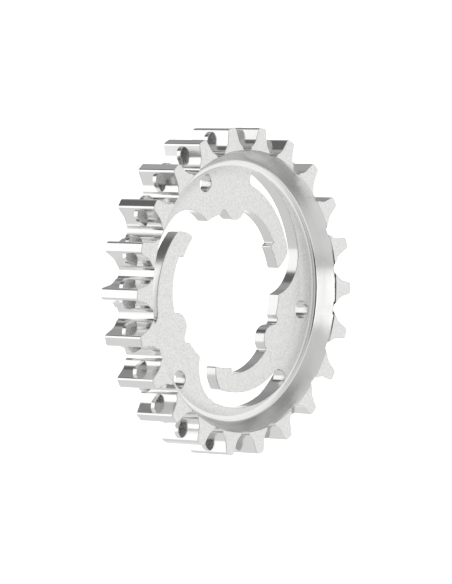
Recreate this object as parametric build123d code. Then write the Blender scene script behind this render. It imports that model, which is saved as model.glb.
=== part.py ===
"""One-piece belt drive sprocket for a three-lug hub driver: a toothed ring with a centre fin, a
thin recessed plate inside it, and three hooked spring arms cut in the plate. Lengths are in
millimetres and angles in degrees. The sprocket lies on its back face, with +Z along its axis and
its origin at the centre of that face."""

import os
from math import asin, cos, pi, radians, sin, tan

from build123d import *

# Tooth ring
belt_pitch = 11.0
tooth_count = 22
first_tooth_angle = -0.65
tooth_width = 10.9
tip_inset = 0.815  # from the belt's pitch circle in to the tips
tip_width = 2.49
tip_rounding = 0.7
gap_depth = 5.0
flank_angle = 21.0

# Centre fin, between the teeth at half their width
fin_thickness = 1.3
fin_inset = 0.65
fin_shoulder_rounding = 2.0

# Relief slot, in the bottom of each tooth gap and through the fin
relief_slot_width = 2.95
relief_slot_depth = 0.62
relief_slot_bevel = 0.6
relief_slot_draft = 3.0

# Inside of the ring
ring_wall = 0.7
ring_edge_chamfer = 0.4
recess_wall_run = 1.95
recess_lip_width = 1.3
recess_lip_height = 0.8
lip_bevel_width = 1.9
back_recess_inset = 1.6

# Plate
plate_depth = 5.2
plate_thickness = 3.0

# Hub seat: the circle that the driver's lugs turn in, with a lobe and a notch at each arm's root
seat_radius = 17.75
lobe_radius = 3.3
lobe_height = 1.45
lobe_angle = 83.2
notch_radius = 1.15
notch_inset = 0.15
notch_angle = 95.7

# Spring arms: arc slots about an arm centre off the axis, each open at a round mouth
arm_count = 3
arm_centre_offset = 4.1
arm_centre_angle = 90.0
arm_root_width = 3.75
slot_width = 3.5
slot_end_angle = 67.1
mouth_radius = 9.0
mouth_angle = 11.8
mouth_span_before = 45.0
mouth_span_after = 15.0
arm_tip_radius = 6.8
arm_tip_offset = 0.4
arm_tip_angle = 36.5
arm_relief_inset = 3.1
arm_relief_offset = 4.95
arm_relief_angle = 56.6
arm_pad_end_angle = 33.5
outline_rounding = 0.45

# Extractor holes in the plate
hole_count = 3
hole_radius = 2.0
hole_inset = 2.55  # from the foot of the lip in to the hole's centre
hole_angle = -11.5

node_name = "sprocket"

pitch_angle = 360 / tooth_count
pitch_radius = tooth_count * belt_pitch / (2 * pi)
tip_radius = pitch_radius - tip_inset
gap_floor_radius = tip_radius - gap_depth
fin_radius = tip_radius - fin_inset
ring_inner_radius = gap_floor_radius - ring_wall
recess_floor_radius = ring_inner_radius - recess_wall_run
back_recess_radius = ring_inner_radius - back_recess_inset
lip_radius = recess_floor_radius - recess_lip_width
hole_circle_radius = lip_radius - hole_inset
plate_front = tooth_width - plate_depth
plate_back = plate_front - plate_thickness
lip_top = plate_front + recess_lip_height


def polar(radius, angle):
    """The point at a radius and angle in the plane of the plate."""
    return Vector(radius * cos(radians(angle)), radius * sin(radians(angle)))


def disc(radius, centre=Vector(0, 0)):
    """A round face about a centre."""
    return Pos(centre.X, centre.Y) * Circle(radius)


def wedge(start_angle, end_angle):
    """The part of the plate between two directions from the axis, less than half a turn apart."""
    reach = 2 * tip_radius
    directions = [start_angle, (start_angle + end_angle) / 2, end_angle]
    corners = [Vector(0, 0)] + [polar(reach, angle) for angle in directions]
    return make_face(Polyline(*corners, close=True))


def around(shape, count, first_angle=0):
    """Copies of a shape, evenly spaced round the axis."""
    return [Rot(0, 0, first_angle + index * 360 / count) * shape for index in range(count)]


def flared_channel(floor_x, half_width, slope_angle):
    """Outline about +X of a channel with a flat floor and straight walls that open outwards."""
    mouth_x = 2 * tip_radius - floor_x
    mouth_half_width = half_width + (mouth_x - floor_x) * tan(radians(slope_angle))
    return make_face(
        Polyline(
            (floor_x, half_width),
            (mouth_x, mouth_half_width),
            (mouth_x, -mouth_half_width),
            (floor_x, -half_width),
            close=True,
        )
    )


def tooth_gap():
    """Outline about +X of one gap between teeth: a round floor that runs into the straight flanks."""
    slope = radians(flank_angle)
    corner_angle = radians(pitch_angle / 2) - asin(tip_width / 2 / tip_radius)
    corner = Vector(tip_radius * cos(corner_angle), tip_radius * sin(corner_angle))
    mouth_half_width = corner.Y + (tip_radius - corner.X) * tan(slope)
    floor_rounding = (mouth_half_width * cos(slope) - gap_depth * sin(slope)) / (1 - sin(slope))
    flanks = flared_channel(
        gap_floor_radius + floor_rounding * (1 - sin(slope)), floor_rounding * cos(slope), flank_angle
    )
    return flanks + disc(floor_rounding, Vector(gap_floor_radius + floor_rounding, 0))


def toothed_face():
    """Outline of the teeth, filled in to the axis."""
    teeth = disc(tip_radius) - around(tooth_gap(), tooth_count, first_tooth_angle + pitch_angle / 2)
    tip_corners = teeth.vertices().filter_by(lambda corner: Vector(corner.X, corner.Y).length > fin_radius)
    return fillet(tip_corners, tip_rounding)


def relief_slot():
    """Outline about +X of a relief slot: a floor with bevelled corners between the drafted walls."""
    half_width = relief_slot_width / 2
    floor_x = gap_floor_radius - relief_slot_depth
    wall_x = floor_x + relief_slot_bevel
    walls = flared_channel(wall_x, half_width, relief_slot_draft)
    corners = [(floor_x, half_width - relief_slot_bevel), (wall_x, half_width)]
    mirrored = [(x, -y) for x, y in reversed(corners)]
    return walls + make_face(Polyline(*corners, *mirrored, close=True))


def fin_block():
    """Outline about +X of the fin on one tooth: flat on top, with a round shoulder at each relief slot."""
    half_pitch = pitch_angle / 2
    half_width = fin_radius * tan(radians(half_pitch))
    sector = make_face(Polyline((0, 0), (fin_radius, -half_width), (fin_radius, half_width), close=True))
    block = sector - [Rot(0, 0, side * half_pitch) * relief_slot() for side in (-1, 1)]
    return fillet(block.vertices().group_by(Axis.X)[-1], fin_shoulder_rounding)


def ring_section():
    """Half section of the turned inside: the ring's walls, the lip and the plate."""
    outline = Polyline(
        (0, plate_front),
        (0, plate_back),
        (back_recess_radius, plate_back),
        (back_recess_radius, 0),
        (tip_radius, 0),
        (tip_radius, tooth_width),
        (ring_inner_radius + ring_edge_chamfer, tooth_width),
        (ring_inner_radius, tooth_width - ring_edge_chamfer),
        (recess_floor_radius, lip_top),
        (lip_radius, lip_top),
        (lip_radius - lip_bevel_width, plate_front),
        close=True,
    )
    return make_face(Plane.XZ * outline)


def hub_seat():
    """Outline of the hub seat, with the relief inside each arm, the notch and the lobe."""
    relief = disc(seat_radius - arm_relief_inset, polar(arm_relief_offset, arm_relief_angle))
    relief &= wedge(arm_pad_end_angle, lobe_angle)
    notch = disc(notch_radius, polar(seat_radius - notch_inset, notch_angle))
    lobe = disc(lobe_radius, polar(seat_radius - lobe_height + lobe_radius, lobe_angle))
    seat = disc(seat_radius) + around(relief, arm_count) + around(notch, arm_count)
    return seat - around(lobe, arm_count)


def arm_slot():
    """Outline of the slot outside one arm, and of the mouth past the arm's tip."""
    arm_centre = polar(arm_centre_offset, arm_centre_angle)
    inner_radius = seat_radius + arm_root_width
    outer_radius = inner_radius + slot_width
    end = arm_centre + polar(inner_radius + slot_width / 2, slot_end_angle)
    band = disc(outer_radius, arm_centre) - disc(inner_radius, arm_centre)
    swept = [arm_centre + polar(2 * outer_radius, angle) for angle in (slot_end_angle, mouth_angle)]
    band &= make_face(Polyline(arm_centre, *swept, close=True))
    tip = disc(arm_tip_radius, polar(seat_radius + arm_tip_offset, arm_tip_angle))
    tip &= disc(inner_radius, arm_centre)
    mouth = disc(mouth_radius, arm_centre + polar(outer_radius - mouth_radius, mouth_angle))
    mouth &= wedge(mouth_angle - mouth_span_before, mouth_angle + mouth_span_after)
    return band + disc(slot_width / 2, end) + (mouth - tip)


def plate_opening():
    """Outline of everything cut through the plate's middle, with its corners rounded."""
    opening = hub_seat() + around(arm_slot(), arm_count)
    opening = offset(opening, outline_rounding)
    opening = offset(opening, -2 * outline_rounding)
    return offset(opening, outline_rounding)


def sprocket():
    """The whole sprocket."""
    blank = revolve(ring_section(), Axis.Z)
    teeth = extrude(toothed_face(), tooth_width)
    fin = Pos(0, 0, (tooth_width - fin_thickness) / 2) * extrude(fin_block(), fin_thickness)
    body = blank & (teeth + around(fin, tooth_count, first_tooth_angle))
    first_gap_angle = first_tooth_angle + pitch_angle / 2
    body -= around(extrude(relief_slot(), tooth_width), tooth_count, first_gap_angle)
    body -= extrude(plate_opening(), tooth_width)
    hole = Pos(*polar(hole_circle_radius, hole_angle)) * Cylinder(hole_radius, 3 * tooth_width)
    return body - around(hole, hole_count)


os.makedirs("parts", exist_ok=True)
export_step(sprocket(), f"parts/{node_name}.step")
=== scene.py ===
"""Belt drive sprocket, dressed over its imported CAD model.

The sprocket lies on its back face on a plain pale floor, in a light tent whose bright and dark cards its
metal mirrors, and the camera looks down on it at the photograph's viewing angle. Lengths are in metres
and angles in degrees, unless a docstring says otherwise.
"""

import logging
import math
from collections.abc import Callable
from dataclasses import dataclass
from enum import Enum

import bmesh
import bpy
from mathutils import Matrix, Vector


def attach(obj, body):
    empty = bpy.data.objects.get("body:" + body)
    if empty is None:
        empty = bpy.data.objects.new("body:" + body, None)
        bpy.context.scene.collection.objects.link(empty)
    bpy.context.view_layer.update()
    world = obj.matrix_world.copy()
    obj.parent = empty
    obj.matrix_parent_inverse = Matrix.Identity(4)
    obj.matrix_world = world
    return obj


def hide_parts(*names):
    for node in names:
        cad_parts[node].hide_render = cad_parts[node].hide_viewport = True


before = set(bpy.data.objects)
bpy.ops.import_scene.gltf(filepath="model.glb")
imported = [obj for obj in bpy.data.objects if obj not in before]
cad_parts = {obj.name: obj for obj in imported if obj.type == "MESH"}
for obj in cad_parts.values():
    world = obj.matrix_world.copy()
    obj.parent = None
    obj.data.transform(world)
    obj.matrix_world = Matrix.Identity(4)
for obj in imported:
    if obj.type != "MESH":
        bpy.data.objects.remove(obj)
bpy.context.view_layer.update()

logging.basicConfig(level=logging.INFO, format="%(message)s")
log = logging.getLogger("sprocket_scene")

Socket = bpy.types.NodeSocket
Edge = bmesh.types.BMEdge
Colour = tuple[float, float, float]

MM = 0.001
MICRON = 0.000001
NODE_NAME = "sprocket"


class Region(Enum):
    """The kinds of surface on the sprocket, in the order of its material slots."""

    TOOTH_FACE = 0
    FLANK = 1
    FIN = 2
    RECESS_WALL = 3
    LIP = 4
    PLATE_FACE = 5
    CUT_WALL = 6
    BACK = 7


def grey(brightness: float) -> Colour:
    """A grey of one brightness."""
    return (brightness, brightness, brightness)


def select_only(piece: bpy.types.Object) -> None:
    """Select one object, make it active and deselect the rest.

    Args:
        piece: the object.
    """
    bpy.ops.object.select_all(action="DESELECT")
    piece.select_set(True)
    bpy.context.view_layer.objects.active = piece


def radius_of(point: Vector) -> float:
    """The distance of a point from the sprocket's axis."""
    return math.hypot(point.x, point.y)


def middle_of(edge: Edge) -> Vector:
    """The point halfway along an edge."""
    return (edge.verts[0].co + edge.verts[1].co) / 2


def uprightness(edge: Edge) -> float:
    """How upright an edge is, from 0 where it lies flat to 1 where it stands."""
    return abs((edge.verts[0].co - edge.verts[1].co).normalized().z)


class NodeSheet:
    """A material's or world's node tree, with short calls that add and join its nodes."""

    def __init__(self, tree: bpy.types.NodeTree) -> None:
        """Empty the tree.

        Args:
            tree: the node tree to fill.
        """
        self.tree = tree
        self.tree.nodes.clear()

    def add(self, kind: str, **settings: object) -> bpy.types.Node:
        """Add a node.

        Args:
            kind: the node's type name.
            settings: properties to set on it.

        Returns:
            The new node.
        """
        node = self.tree.nodes.new(kind)
        for name, value in settings.items():
            setattr(node, name, value)
        return node

    def join(self, source: Socket, target: Socket) -> None:
        """Link one socket to another."""
        self.tree.links.new(source, target)

    def math(self, operation: str, *inputs: float | Socket, clamp: bool = False) -> Socket:
        """Add a Math node.

        Args:
            operation: the node's operation.
            inputs: numbers or sockets, in the node's order.
            clamp: keep the result within 0 and 1.

        Returns:
            The node's output.
        """
        node = self.add("ShaderNodeMath", operation=operation, use_clamp=clamp)
        for socket, value in zip(node.inputs, inputs):
            if isinstance(value, Socket):
                self.join(value, socket)
            else:
                socket.default_value = value
        return node.outputs[0]

    def spread(self, value: Socket, centre: float, width: float, clamp: bool = False) -> Socket:
        """Turn a value between 0 and 1 into one about a centre.

        Args:
            value: the value.
            centre: what a value of 0.5 becomes.
            width: how far the result goes to either side.
            clamp: keep the result within 0 and 1.

        Returns:
            The new value.
        """
        offset = self.math("MULTIPLY", self.math("SUBTRACT", value, 0.5), 2 * width)
        return self.math("ADD", offset, centre, clamp=clamp)

    def dot(self, vector: Socket, direction: Vector) -> Socket:
        """Multiply a vector by a fixed direction.

        Args:
            vector: the vector.
            direction: the fixed direction.

        Returns:
            Their dot product.
        """
        node = self.add("ShaderNodeVectorMath", operation="DOT_PRODUCT")
        self.join(vector, node.inputs[0])
        node.inputs[1].default_value = direction
        return node.outputs["Value"]

    def smooth_step(self, value: Socket, low: float, high: float) -> Socket:
        """Ease a value from 0 at low to 1 at high.

        Args:
            value: the value to ease.
            low: where the result is 0.
            high: where the result is 1.

        Returns:
            The eased value.
        """
        node = self.add("ShaderNodeMapRange", interpolation_type="SMOOTHSTEP")
        self.join(value, node.inputs["Value"])
        node.inputs["From Min"].default_value = low
        node.inputs["From Max"].default_value = high
        return node.outputs["Result"]

    def blend(self, factor: Socket, first: Colour | Socket, second: Colour | Socket) -> Socket:
        """Mix two colours.

        Args:
            factor: how much of the second colour shows.
            first: a colour or a socket.
            second: a colour or a socket.

        Returns:
            The mixed colour.
        """
        node = self.add("ShaderNodeMix", data_type="RGBA")
        self.join(factor, node.inputs["Factor"])
        for socket, value in ((node.inputs[6], first), (node.inputs[7], second)):
            if isinstance(value, Socket):
                self.join(value, socket)
            else:
                socket.default_value = (*value, 1.0)
        return node.outputs[2]


@dataclass(frozen=True)
class Finish:
    """A metal finish: its colour, its roughness, and the fine texture that its tool left.

    grain_size is the grain's size in millimetres, grain_depth its height in micrometres, and
    grain_stretch how much longer it is along each axis. mottle is how far the colour varies, in patches
    of about mottle_size millimetres. A turned finish runs round the sprocket's axis. A finish with a
    pit_spacing has dark pits: pit_share of the places that far apart hold one of pit_size millimetres.
    """

    name: str
    colour: Colour
    roughness: float
    roughness_spread: float
    grain_size: float
    grain_depth: float
    grain_stretch: tuple[float, float, float] = (1.0, 1.0, 1.0)
    grain_detail: float = 3.0
    mottle: float = 0.04
    mottle_size: float = 6.0
    mottle_detail: float = 4.0
    turned: bool = False
    pit_spacing: float = 0.0
    pit_size: float = 0.12
    pit_share: float = 0.4
    pit_darkness: float = 0.7

    def coordinates(self, sheet: NodeSheet) -> Socket:
        """Object coordinates in millimetres; on a turned face, radius and height in place of X and Y.

        Args:
            sheet: the material's nodes.

        Returns:
            The vector to read textures with.
        """
        source = sheet.add("ShaderNodeTexCoord")
        scale = sheet.add("ShaderNodeMapping")
        scale.inputs["Scale"].default_value = (1 / MM, 1 / MM, 1 / MM)
        sheet.join(source.outputs["Object"], scale.inputs["Vector"])
        if not self.turned:
            return scale.outputs["Vector"]
        parts = sheet.add("ShaderNodeSeparateXYZ")
        sheet.join(scale.outputs["Vector"], parts.inputs["Vector"])
        x_squared = sheet.math("MULTIPLY", parts.outputs["X"], parts.outputs["X"])
        y_squared = sheet.math("MULTIPLY", parts.outputs["Y"], parts.outputs["Y"])
        radius = sheet.math("SQRT", sheet.math("ADD", x_squared, y_squared))
        turned = sheet.add("ShaderNodeCombineXYZ")
        sheet.join(radius, turned.inputs["X"])
        sheet.join(parts.outputs["Z"], turned.inputs["Y"])
        return turned.outputs["Vector"]

    def grain(self, sheet: NodeSheet, vector: Socket) -> Socket:
        """The fine grain that makes the bump and varies the roughness.

        Args:
            sheet: the material's nodes.
            vector: the coordinates, in millimetres.

        Returns:
            The grain's height, about 0.5.
        """
        lengths = [self.grain_size * along for along in self.grain_stretch]
        stretch = sheet.add("ShaderNodeMapping")
        stretch.inputs["Scale"].default_value = tuple(1 / length for length in lengths)
        sheet.join(vector, stretch.inputs["Vector"])
        noise = sheet.add("ShaderNodeTexNoise")
        noise.inputs["Scale"].default_value = 1.0
        noise.inputs["Detail"].default_value = self.grain_detail
        sheet.join(stretch.outputs["Vector"], noise.inputs["Vector"])
        return noise.outputs[0]

    def pits(self, sheet: NodeSheet, vector: Socket) -> Socket:
        """Scattered dark pits.

        Args:
            sheet: the material's nodes.
            vector: the coordinates, in millimetres.

        Returns:
            A factor that is 1 outside the pits and lower in them.
        """
        cells = sheet.add("ShaderNodeTexVoronoi")
        cells.inputs["Scale"].default_value = 1 / self.pit_spacing
        sheet.join(vector, cells.inputs["Vector"])
        inside = sheet.smooth_step(cells.outputs["Distance"], self.pit_size / self.pit_spacing, 0.0)
        draw = sheet.add("ShaderNodeSeparateColor")
        sheet.join(cells.outputs["Color"], draw.inputs["Color"])
        chosen = sheet.smooth_step(draw.outputs[0], 1.0 - self.pit_share, 1.0)
        depth = sheet.math("MULTIPLY", inside, chosen)
        return sheet.math("SUBTRACT", 1.0, sheet.math("MULTIPLY", depth, self.pit_darkness))

    def shade(self, sheet: NodeSheet, vector: Socket) -> Socket:
        """How the colour is lightened and darkened from place to place.

        Args:
            sheet: the material's nodes.
            vector: the coordinates, in millimetres.

        Returns:
            A factor for the colour, about 1.
        """
        noise = sheet.add("ShaderNodeTexNoise")
        noise.inputs["Scale"].default_value = 1 / self.mottle_size
        noise.inputs["Detail"].default_value = self.mottle_detail
        sheet.join(vector, noise.inputs["Vector"])
        mottling = sheet.spread(noise.outputs[0], 1.0, self.mottle)
        if not self.pit_spacing:
            return mottling
        return sheet.math("MULTIPLY", mottling, self.pits(sheet, vector))

    def material(self) -> bpy.types.Material:
        """Build the finish's material.

        Returns:
            The new material.
        """
        material = bpy.data.materials.new(self.name)
        material.use_nodes = True
        sheet = NodeSheet(material.node_tree)
        vector = self.coordinates(sheet)
        grain = self.grain(sheet, vector)
        tint = sheet.add("ShaderNodeVectorMath", operation="SCALE")
        tint.inputs[0].default_value = self.colour
        sheet.join(self.shade(sheet, vector), tint.inputs["Scale"])
        bump = sheet.add("ShaderNodeBump")
        bump.inputs["Strength"].default_value = 1.0
        bump.inputs["Distance"].default_value = self.grain_depth * MICRON
        sheet.join(grain, bump.inputs["Height"])
        metal = sheet.add("ShaderNodeBsdfPrincipled")
        metal.inputs["Metallic"].default_value = 1.0
        rough = sheet.spread(grain, self.roughness, self.roughness_spread, clamp=True)
        sheet.join(tint.outputs["Vector"], metal.inputs["Base Color"])
        sheet.join(rough, metal.inputs["Roughness"])
        sheet.join(bump.outputs["Normal"], metal.inputs["Normal"])
        output = sheet.add("ShaderNodeOutputMaterial")
        sheet.join(metal.outputs["BSDF"], output.inputs["Surface"])
        return material


TUMBLED = Finish(
    name="steel_tumbled_face",
    colour=(0.87, 0.87, 0.86),
    roughness=0.34,
    roughness_spread=0.14,
    grain_size=0.3,
    grain_depth=24.0,
    mottle=0.26,
    mottle_size=0.45,
    pit_spacing=1.1,
)
POLISHED = Finish(
    name="steel_polished_flank",
    colour=(0.75, 0.75, 0.745),
    roughness=0.17,
    roughness_spread=0.05,
    grain_size=0.22,
    grain_depth=1.6,
    grain_stretch=(1.0, 1.0, 5.0),
    mottle=0.05,
)
LIP_STEEL = Finish(
    name="steel_turned_lip",
    colour=(0.93, 0.93, 0.925),
    roughness=0.2,
    roughness_spread=0.04,
    grain_size=0.12,
    grain_depth=0.4,
    turned=True,
)
FIN_STEEL = Finish(
    name="steel_fin",
    colour=(0.72, 0.72, 0.715),
    roughness=0.26,
    roughness_spread=0.06,
    grain_size=0.3,
    grain_depth=2.0,
    mottle=0.06,
)
TURNED = Finish(
    name="steel_turned_wall",
    colour=(0.76, 0.76, 0.755),
    roughness=0.24,
    roughness_spread=0.05,
    grain_size=0.12,
    grain_depth=1.2,
    turned=True,
)
CUT = Finish(
    name="steel_cut_wall",
    colour=(0.68, 0.68, 0.675),
    roughness=0.2,
    roughness_spread=0.03,
    grain_size=0.25,
    grain_depth=0.7,
    grain_stretch=(1.0, 1.0, 3.0),
    mottle=0.03,
)

FINISHES = {
    Region.TOOTH_FACE: TUMBLED,
    Region.FLANK: POLISHED,
    Region.FIN: FIN_STEEL,
    Region.RECESS_WALL: TURNED,
    Region.LIP: LIP_STEEL,
    Region.PLATE_FACE: TUMBLED,
    Region.CUT_WALL: CUT,
    Region.BACK: TUMBLED,
}


@dataclass(frozen=True)
class SurfaceRules:
    """The limits that tell one kind of edge or face on the sprocket from another.

    The angles are between an edge's two faces, a level is the part of a normal along the axis, and the
    rest are distances from the sizes of the sprocket.
    """

    near: float = 0.01 * MM
    upright: float = 0.99
    slot_corner_angle: float = 30.0
    slot_corner_reach: float = 0.03 * MM
    cut_corner_angle: float = 50.0
    flat_level: float = 0.8
    wall_level: float = 0.3
    inside_lip: float = 0.5 * MM
    outside_chamfer: float = 0.42 * MM
    slot_mouth_reach: float = 1.4 * MM
    facing_level: float = 0.5
    steep_level: float = 0.45
    face_depth: float = 0.05 * MM
    outside_ring: float = 0.02 * MM
    inside_lip_edge: float = 0.15 * MM


@dataclass
class Sprocket:
    """The dressed sprocket: a copy of the CAD solid, hollowed inside its lip, rounded and finished.

    The sizes of the ring, lip, plate and fin repeat the CAD model's own. The hollow rises from its foot
    radius to the lip's edge, as a power of the way across. The land outside that edge slopes up by
    lip_edge_drop, over land_width, to the lip. slot_roundings holds a radius and a rounding for each of
    the relief slots' two inner corners.
    """

    name: str = "sprocket_body"
    edge_bevel: float = 0.14 * MM
    slot_roundings: tuple[tuple[float, float], ...] = ((32.092 * MM, 0.5 * MM), (32.714 * MM, 0.2 * MM))
    lip_rounding: float = 0.12 * MM
    bevel_steps: int = 3
    foot_fillet: float = 0.46 * MM
    foot_steps: int = 4
    hollow_steps: int = 10
    hollow_power: float = 1.9
    hollow_foot_radius: float = 25.2 * MM
    lip_edge_radius: float = 28.8 * MM
    lip_edge_drop: float = 0.12 * MM
    land_width: float = 0.7 * MM
    cutter_sides: int = 288
    cutter_overrun: float = 1.1
    cutter_height: float = 3.0 * MM
    edge_angle: float = 35.0
    flat_angle: float = 0.6
    merge_distance: float = 0.002 * MM
    crowd_distance: float = 0.1 * MM
    ring_floor_radius: float = 32.0 * MM
    wall_foot_radius: float = 30.05 * MM
    lip_radius: float = 28.75 * MM
    lip_top: float = 6.5 * MM
    plate_front: float = 5.7 * MM
    fin_bottom: float = 4.8 * MM
    fin_top: float = 6.1 * MM
    tooth_width: float = 10.9 * MM
    rules: SurfaceRules = SurfaceRules()

    def copy_node(self, node: bpy.types.Object) -> bpy.types.Object:
        """Copy the CAD node's mesh into a new object at the origin.

        Args:
            node: the CAD node.

        Returns:
            The copy, selected and active.
        """
        piece = bpy.data.objects.new(self.name, node.data.copy())
        piece.data.name = self.name
        bpy.context.scene.collection.objects.link(piece)
        select_only(piece)
        return piece

    def merge(self, piece: bpy.types.Object) -> None:
        """Join the loose triangles and dissolve those that lie in one plane.

        Args:
            piece: the piece.
        """
        bpy.ops.mesh.customdata_custom_splitnormals_clear()
        bpy.ops.object.mode_set(mode="EDIT")
        bpy.ops.mesh.select_all(action="SELECT")
        bpy.ops.mesh.remove_doubles(threshold=self.merge_distance)
        bpy.ops.mesh.dissolve_limited(angle_limit=math.radians(self.flat_angle))
        bpy.ops.object.mode_set(mode="OBJECT")
        log.info("%s: %d faces after merging", piece.name, len(piece.data.polygons))

    def on_ring(self, edge: Edge, radius: float, height: float) -> bool:
        """Whether both ends of an edge lie on a turned circle.

        Args:
            edge: the edge.
            radius: the circle's radius.
            height: the circle's height.

        Returns:
            True for an edge of the circle.
        """
        near = self.rules.near
        return all(
            abs(radius_of(end.co) - radius) < near and abs(end.co.z - height) < near for end in edge.verts
        )

    def in_slot(self, edge: Edge, radius: float) -> bool:
        """Whether an edge runs along a relief slot, in an inner corner at a radius.

        Args:
            edge: the edge.
            radius: the corner's distance from the axis.

        Returns:
            True for such a corner.
        """
        return (
            len(edge.link_faces) == 2
            and not edge.is_convex
            and uprightness(edge) > self.rules.upright
            and edge.calc_face_angle() > math.radians(self.rules.slot_corner_angle)
            and abs(radius_of(middle_of(edge)) - radius) < self.rules.slot_corner_reach
        )

    def in_hollow(self, edge: Edge) -> bool:
        """Whether an edge lies on the plate's front or in the hollow round it.

        Args:
            edge: the edge.

        Returns:
            True for an edge on either.
        """
        return all(
            radius_of(end.co) < self.lip_edge_radius + self.land_width
            and end.co.z > self.plate_front - self.merge_distance
            for end in edge.verts
        )

    def is_cut_edge(self, edge: Edge) -> bool:
        """Whether an edge is an outer corner of a cut or toothed wall, clear of the lip and ring wall.

        Args:
            edge: the edge.

        Returns:
            True where a flat face meets a wall, and where a relief slot's wall meets a flank.
        """
        rules = self.rules
        if len(edge.link_faces) != 2 or not edge.is_convex:
            return False
        if edge.calc_face_angle() < math.radians(rules.cut_corner_angle):
            return False
        ring = self.ring_floor_radius
        radius = radius_of(middle_of(edge))
        if self.lip_edge_radius - rules.inside_lip < radius < ring + rules.outside_chamfer:
            return False
        levels = [abs(face.normal.z) for face in edge.link_faces]
        if radius > ring and max(levels) < rules.wall_level:
            return uprightness(edge) > rules.upright and radius < ring + rules.slot_mouth_reach
        return max(levels) > rules.flat_level and min(levels) < rules.wall_level

    def pick_edges(self, piece: bpy.types.Object, wanted: Callable[[Edge], bool]) -> int:
        """Select the edges that a rule wants, and nothing else.

        Args:
            piece: the piece, in edit mode.
            wanted: the rule.

        Returns:
            How many edges were selected.
        """
        bpy.ops.mesh.select_all(action="DESELECT")
        mesh = bmesh.from_edit_mesh(piece.data)
        picked = [edge for edge in mesh.edges if wanted(edge)]
        for edge in picked:
            edge.select_set(True)
        mesh.select_flush_mode()
        bmesh.update_edit_mesh(piece.data)
        return len(picked)

    def lift_plate(self, piece: bpy.types.Object) -> None:
        """Raise the plate's front and the slope round it to the lip's height.

        Args:
            piece: the piece.
        """
        near = self.rules.near
        bpy.ops.object.mode_set(mode="EDIT")
        mesh = bmesh.from_edit_mesh(piece.data)
        for point in mesh.verts:
            inside = radius_of(point.co) < self.lip_radius + near
            if inside and self.plate_front - near < point.co.z < self.lip_top:
                point.co.z = self.lip_top
        bmesh.update_edit_mesh(piece.data)
        bpy.ops.object.mode_set(mode="OBJECT")

    def hollow_profile(self) -> list[tuple[float, float]]:
        """The cutter's outline outside its foot: up the hollow, over the land and straight up.

        Returns:
            Each corner's radius, and its height over the plate.
        """
        width = self.lip_edge_radius - self.hollow_foot_radius
        rise = self.lip_top - self.lip_edge_drop - self.plate_front
        runs = [step / self.hollow_steps for step in range(1, self.hollow_steps + 1)]
        profile = [(self.hollow_foot_radius + width * run, rise * run**self.hollow_power) for run in runs]
        clear_radius = self.lip_edge_radius + self.cutter_overrun * self.land_width
        profile.append((clear_radius, rise + self.cutter_overrun * self.lip_edge_drop))
        profile.append((clear_radius, rise + self.cutter_height))
        return profile

    def hollow_cutter(self) -> bpy.types.Object:
        """Build the turned solid that cuts the plate's front and the hollow up to the lip.

        Returns:
            The cutter, the only selected object.
        """
        bpy.ops.object.select_all(action="DESELECT")
        bpy.ops.mesh.primitive_circle_add(
            vertices=self.cutter_sides,
            radius=self.hollow_foot_radius,
            fill_type="NGON",
            location=(0.0, 0.0, self.plate_front),
        )
        cutter = bpy.context.active_object
        cutter.name = "hollow_cutter"
        bpy.ops.object.mode_set(mode="EDIT")
        bpy.ops.mesh.select_all(action="SELECT")
        radius, height = self.hollow_foot_radius, 0.0
        for next_radius, next_height in self.hollow_profile():
            climb = (0.0, 0.0, next_height - height)
            bpy.ops.mesh.extrude_region_move(TRANSFORM_OT_translate={"value": climb})
            growth = next_radius / radius
            bpy.ops.transform.resize(value=(growth, growth, 1.0))
            radius, height = next_radius, next_height
        bpy.ops.mesh.select_all(action="SELECT")
        bpy.ops.mesh.normals_make_consistent(inside=False)
        bpy.ops.object.mode_set(mode="OBJECT")
        return cutter

    def hollow_lip(self, piece: bpy.types.Object) -> None:
        """Cut the plate's front back down, with a slope that steepens up to the lip.

        Args:
            piece: the piece.
        """
        self.lift_plate(piece)
        cutter = self.hollow_cutter()
        select_only(piece)
        cut = piece.modifiers.new("hollow", "BOOLEAN")
        cut.operation = "DIFFERENCE"
        cut.solver = "EXACT"
        cut.object = cutter
        bpy.ops.object.modifier_apply(modifier=cut.name)
        bpy.data.objects.remove(cutter, do_unlink=True)
        bpy.ops.object.mode_set(mode="EDIT")
        bpy.ops.mesh.select_all(action="SELECT")
        bpy.ops.mesh.remove_doubles(threshold=self.merge_distance)
        # The cutter's rings leave crowded points on the rims, which would spoil their bevel
        self.pick_edges(piece, self.in_hollow)
        bpy.ops.mesh.remove_doubles(threshold=self.crowd_distance)
        bpy.ops.object.mode_set(mode="OBJECT")
        log.info("%s: %d faces with the hollow", piece.name, len(piece.data.polygons))

    def bevel(
        self,
        piece: bpy.types.Object,
        wanted: Callable[[Edge], bool],
        width: float,
        steps: int,
        slide: bool = True,
    ) -> None:
        """Bevel the edges that a rule wants.

        Args:
            piece: the piece, in edit mode.
            wanted: the rule.
            width: the bevel's width.
            steps: how many faces it has across.
            slide: let its corners slide along the edges beside it, at the cost of an even width.
        """
        count = self.pick_edges(piece, wanted)
        bpy.ops.mesh.bevel(offset=width, segments=steps, affect="EDGES", loop_slide=slide)
        log.info("%s: %d edges bevelled by %.2f mm", piece.name, count, width / MM)

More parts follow.
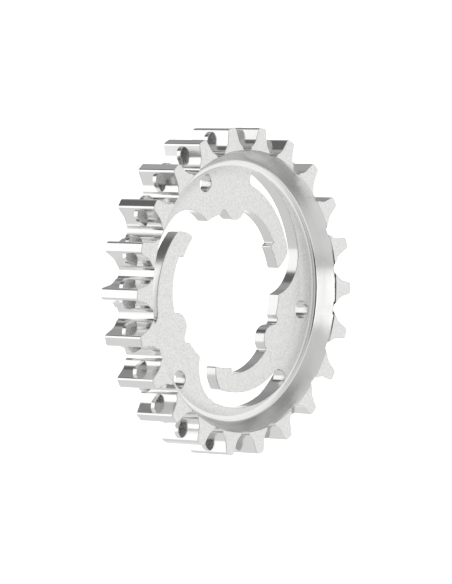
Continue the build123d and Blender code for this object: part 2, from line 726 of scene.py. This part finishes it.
    def break_edges(self, piece: bpy.types.Object) -> None:
        """Round the relief slots, the foot of the recess wall, the lip's edge and the outer corners.

        Args:
            piece: the piece.
        """
        lip_edge_height = self.lip_top - self.lip_edge_drop
        bpy.ops.object.mode_set(mode="EDIT")
        bpy.ops.mesh.select_mode(type="EDGE")
        for radius, rounding in self.slot_roundings:
            self.bevel(piece, lambda edge: self.in_slot(edge, radius), rounding, self.bevel_steps)
        self.bevel(
            piece,
            lambda edge: self.on_ring(edge, self.wall_foot_radius, self.lip_top),
            self.foot_fillet,
            self.foot_steps,
        )
        self.bevel(
            piece,
            lambda edge: self.on_ring(edge, self.lip_edge_radius, lip_edge_height),
            self.lip_rounding,
            self.bevel_steps,
        )
        self.bevel(piece, self.is_cut_edge, self.edge_bevel, self.bevel_steps, slide=False)
        bpy.ops.mesh.select_all(action="SELECT")
        bpy.ops.mesh.dissolve_degenerate(threshold=self.merge_distance)
        bpy.ops.object.mode_set(mode="OBJECT")

    def smooth(self, piece: bpy.types.Object) -> None:
        """Shade the rounded corners smoothly, and keep the large faces flat.

        Args:
            piece: the piece, selected and active.
        """
        bpy.ops.object.shade_smooth_by_angle(angle=math.radians(self.edge_angle))
        weights = piece.modifiers.new("weights", "WEIGHTED_NORMAL")
        weights.mode = "FACE_AREA"
        weights.keep_sharp = True
        bpy.ops.object.modifier_apply(modifier=weights.name)

    def region_at(self, centre: Vector, normal: Vector) -> Region:
        """Tell which kind of surface a face belongs to.

        Args:
            centre: the face's centre.
            normal: the face's normal.

        Returns:
            The face's region.
        """
        rules = self.rules
        radius = radius_of(centre)
        facing = rules.facing_level
        fin_start = self.fin_bottom - rules.face_depth
        fin_end = self.fin_top + rules.face_depth
        if normal.z < -facing and centre.z < self.plate_front and centre.z <= fin_start:
            return Region.BACK
        if radius > self.ring_floor_radius + rules.outside_ring:
            if centre.z > self.tooth_width - rules.face_depth and normal.z > facing:
                return Region.TOOTH_FACE
            if abs(normal.z) > facing and fin_start < centre.z < fin_end:
                return Region.FIN
            return Region.FLANK
        over_plate = centre.z > self.plate_front + rules.face_depth
        if over_plate and radius > self.lip_radius - rules.inside_lip_edge:
            return Region.RECESS_WALL if abs(normal.z) < rules.steep_level else Region.LIP
        return Region.PLATE_FACE if normal.z > facing else Region.CUT_WALL

    def dress(self, piece: bpy.types.Object) -> None:
        """Give each face the material of its region.

        Args:
            piece: the piece.
        """
        piece.data.materials.clear()
        made: dict[str, bpy.types.Material] = {}
        for region in Region:
            finish = FINISHES[region]
            if finish.name not in made:
                made[finish.name] = finish.material()
            piece.data.materials.append(made[finish.name])
        for face in piece.data.polygons:
            face.material_index = self.region_at(face.center, face.normal).value

    def build(self) -> bpy.types.Object:
        """Build the piece and let it stand for its CAD node.

        Returns:
            The dressed sprocket.
        """
        piece = self.copy_node(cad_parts[NODE_NAME])
        self.merge(piece)
        self.hollow_lip(piece)
        self.break_edges(piece)
        self.smooth(piece)
        self.dress(piece)
        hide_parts(NODE_NAME)
        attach(piece, "root")
        return piece


@dataclass(frozen=True)
class Card:
    """A soft-edged rectangle of one brightness in the light tent.

    azimuth and elevation point at its centre from the sprocket, width and height are its size as seen
    from there, and softness is the width of its edge.
    """

    azimuth: float
    elevation: float
    width: float
    height: float
    brightness: float
    softness: float = 6.0

    def axes(self) -> tuple[Vector, Vector, Vector]:
        """The card's place and its two sides.

        Returns:
            The directions to its centre, its right and its top.
        """
        turn = math.radians(self.azimuth)
        rise = math.radians(self.elevation)
        centre = Vector((math.cos(rise) * math.cos(turn), math.cos(rise) * math.sin(turn), math.sin(rise)))
        right = Vector((-math.sin(turn), math.cos(turn), 0.0))
        return centre, right, centre.cross(right)


@dataclass
class LightTent:
    """The world around the sprocket: a bright tent, dimmer low down, with cards that its metal mirrors.

    Its brightness runs from the horizon's to the zenith's or nadir's over full_height, the sine of an
    elevation. Where cards overlap, the later one covers the earlier.
    """

    name: str = "light_tent"
    zenith: float = 0.7
    horizon: float = 0.4
    nadir: float = 0.6
    full_height: float = 0.7
    grazing: float = 0.001
    cards: tuple[Card, ...] = ()

    def card_mask(self, sheet: NodeSheet, direction: Socket, card: Card) -> Socket:
        """A mask that is 1 inside a card.

        Args:
            sheet: the world's nodes.
            direction: the direction that is looked in.
            card: the card.

        Returns:
            The mask.
        """
        centre, right, top = card.axes()
        ahead = sheet.dot(direction, centre)
        guard = sheet.math("MAXIMUM", ahead, self.grazing)
        mask = sheet.math("GREATER_THAN", ahead, 0.0)
        soft = math.tan(math.radians(card.softness / 2))
        for axis, size in ((right, card.width), (top, card.height)):
            offset = sheet.math("ABSOLUTE", sheet.math("DIVIDE", sheet.dot(direction, axis), guard))
            edge = math.tan(math.radians(size / 2))
            mask = sheet.math("MULTIPLY", mask, sheet.smooth_step(offset, edge + soft, max(edge - soft, 0.0)))
        return mask

    def build(self) -> bpy.types.World:
        """Build the world.

        Returns:
            The scene's world.
        """
        world = bpy.data.worlds.new(self.name)
        world.use_nodes = True
        sheet = NodeSheet(world.node_tree)
        source = sheet.add("ShaderNodeTexCoord")
        direction = source.outputs["Generated"]
        height = sheet.dot(direction, Vector((0.0, 0.0, 1.0)))
        upper = sheet.smooth_step(height, 0.0, self.full_height)
        lower = sheet.smooth_step(height, 0.0, -self.full_height)
        shade = sheet.blend(upper, grey(self.horizon), grey(self.zenith))
        shade = sheet.blend(lower, shade, grey(self.nadir))
        for card in self.cards:
            mask = self.card_mask(sheet, direction, card)
            shade = sheet.blend(mask, shade, grey(card.brightness))
        background = sheet.add("ShaderNodeBackground")
        sheet.join(shade, background.inputs["Color"])
        output = sheet.add("ShaderNodeOutputWorld")
        sheet.join(background.outputs["Background"], output.inputs["Surface"])
        bpy.context.scene.world = world
        return world


@dataclass
class Floor:
    """The plain pale floor that the sprocket lies on, seen by the camera but not in the metal."""

    name: str = "floor"
    half_width: float = 3.0
    colour: Colour = (0.98, 0.98, 0.98)
    roughness: float = 0.9
    glow: float = 0.9

    def paint(self) -> bpy.types.Material:
        """Build the floor's glowing matt paint.

        Returns:
            The new material.
        """
        material = bpy.data.materials.new("pale_floor")
        material.use_nodes = True
        sheet = NodeSheet(material.node_tree)
        paint = sheet.add("ShaderNodeBsdfPrincipled")
        paint.inputs["Base Color"].default_value = (*self.colour, 1.0)
        paint.inputs["Roughness"].default_value = self.roughness
        paint.inputs["Specular IOR Level"].default_value = 0.0
        paint.inputs["Emission Color"].default_value = (*self.colour, 1.0)
        paint.inputs["Emission Strength"].default_value = self.glow
        output = sheet.add("ShaderNodeOutputMaterial")
        sheet.join(paint.outputs["BSDF"], output.inputs["Surface"])
        return material

    def build(self) -> bpy.types.Object:
        """Build the floor.

        Returns:
            The floor's object.
        """
        bpy.ops.object.select_all(action="DESELECT")
        bpy.ops.mesh.primitive_plane_add(size=2 * self.half_width, location=(0.0, 0.0, 0.0))
        floor = bpy.context.active_object
        floor.name = self.name
        floor.data.materials.append(self.paint())
        floor.visible_glossy = False
        floor.visible_shadow = False
        return floor


@dataclass
class StudioCamera:
    """A long lens that looks down on the sprocket at the photograph's viewing angle.

    right, up and back are the camera's own axes in the sprocket's frame, from the photograph. lens and
    sensor are in millimetres.
    """

    name: str = "studio_camera"
    position: tuple[float, float, float] = (-0.9136, 0.0522, 0.7872)
    right: tuple[float, float, float] = (0.6505, 0.0, 0.7595)
    up: tuple[float, float, float] = (0.0331, 0.9990, -0.0284)
    back: tuple[float, float, float] = (-0.7588, 0.0436, 0.6499)
    lens: float = 323.4
    sensor: float = 36.0
    clip_start: float = 0.05

    def build(self) -> bpy.types.Object:
        """Build the camera and make it the scene's.

        Returns:
            The camera's object.
        """
        data = bpy.data.cameras.new(self.name)
        data.lens = self.lens
        data.sensor_fit = "VERTICAL"
        data.sensor_height = self.sensor
        data.clip_start = self.clip_start
        camera = bpy.data.objects.new(self.name, data)
        bpy.context.scene.collection.objects.link(camera)
        axes = Matrix((self.right, self.up, self.back)).transposed()
        camera.matrix_world = Matrix.Translation(self.position) @ axes.to_4x4()
        bpy.context.scene.camera = camera
        return camera


TENT_CARDS = (
    # Above the floor: the key light over the front face, its lower edge, and the light from overhead
    Card(azimuth=-3.0, elevation=42.0, width=80.0, height=44.0, brightness=0.95, softness=24.0),
    Card(azimuth=-1.0, elevation=8.0, width=46.0, height=18.0, brightness=1.0, softness=8.0),
    Card(azimuth=0.0, elevation=78.0, width=90.0, height=40.0, brightness=0.6, softness=20.0),
    Card(azimuth=184.0, elevation=80.0, width=60.0, height=28.0, brightness=0.4, softness=16.0),
    # The tent's two sides
    Card(azimuth=-112.0, elevation=18.0, width=84.0, height=38.0, brightness=0.84, softness=16.0),
    Card(azimuth=107.0, elevation=24.0, width=78.0, height=40.0, brightness=0.76, softness=14.0),
    # The dim gaps beside the key light
    Card(azimuth=-38.0, elevation=10.0, width=24.0, height=16.0, brightness=0.45),
    Card(azimuth=35.0, elevation=12.0, width=24.0, height=16.0, brightness=0.4),
    Card(azimuth=-21.0, elevation=26.0, width=12.0, height=9.0, brightness=0.3),
    Card(azimuth=20.0, elevation=23.0, width=12.0, height=9.0, brightness=0.2),
    # The dark room behind the camera, and the bright strip under it
    Card(azimuth=179.0, elevation=54.0, width=52.0, height=42.0, brightness=0.05),
    Card(azimuth=174.0, elevation=21.0, width=44.0, height=23.0, brightness=1.5),
    # Low down: what the tooth flanks and the cut walls mirror
    Card(azimuth=-148.0, elevation=-6.0, width=36.0, height=20.0, brightness=0.2),
    Card(azimuth=-95.0, elevation=-42.0, width=100.0, height=60.0, brightness=0.86, softness=16.0),
    Card(azimuth=-5.0, elevation=-42.0, width=52.0, height=50.0, brightness=1.3),
    Card(azimuth=46.0, elevation=-42.0, width=40.0, height=50.0, brightness=0.36),
    Card(azimuth=79.0, elevation=-42.0, width=24.0, height=50.0, brightness=0.47),
    Card(azimuth=113.0, elevation=-42.0, width=27.0, height=50.0, brightness=0.15, softness=4.0),
    Card(azimuth=168.0, elevation=-42.0, width=50.0, height=50.0, brightness=1.4, softness=4.0),
)


def main() -> None:
    """Build the camera, the sprocket, the floor and the light, in that order."""
    camera = StudioCamera().build()
    log.info("camera %s", camera.name)
    piece = Sprocket().build()
    log.info("piece %s, %d faces", piece.name, len(piece.data.polygons))
    floor = Floor().build()
    log.info("floor %s", floor.name)
    world = LightTent(cards=TENT_CARDS).build()
    log.info("world %s", world.name)
    bpy.context.scene.view_settings.view_transform = "Standard"
    bpy.context.scene.view_settings.look = "None"


if __name__ == "__main__":
    main()
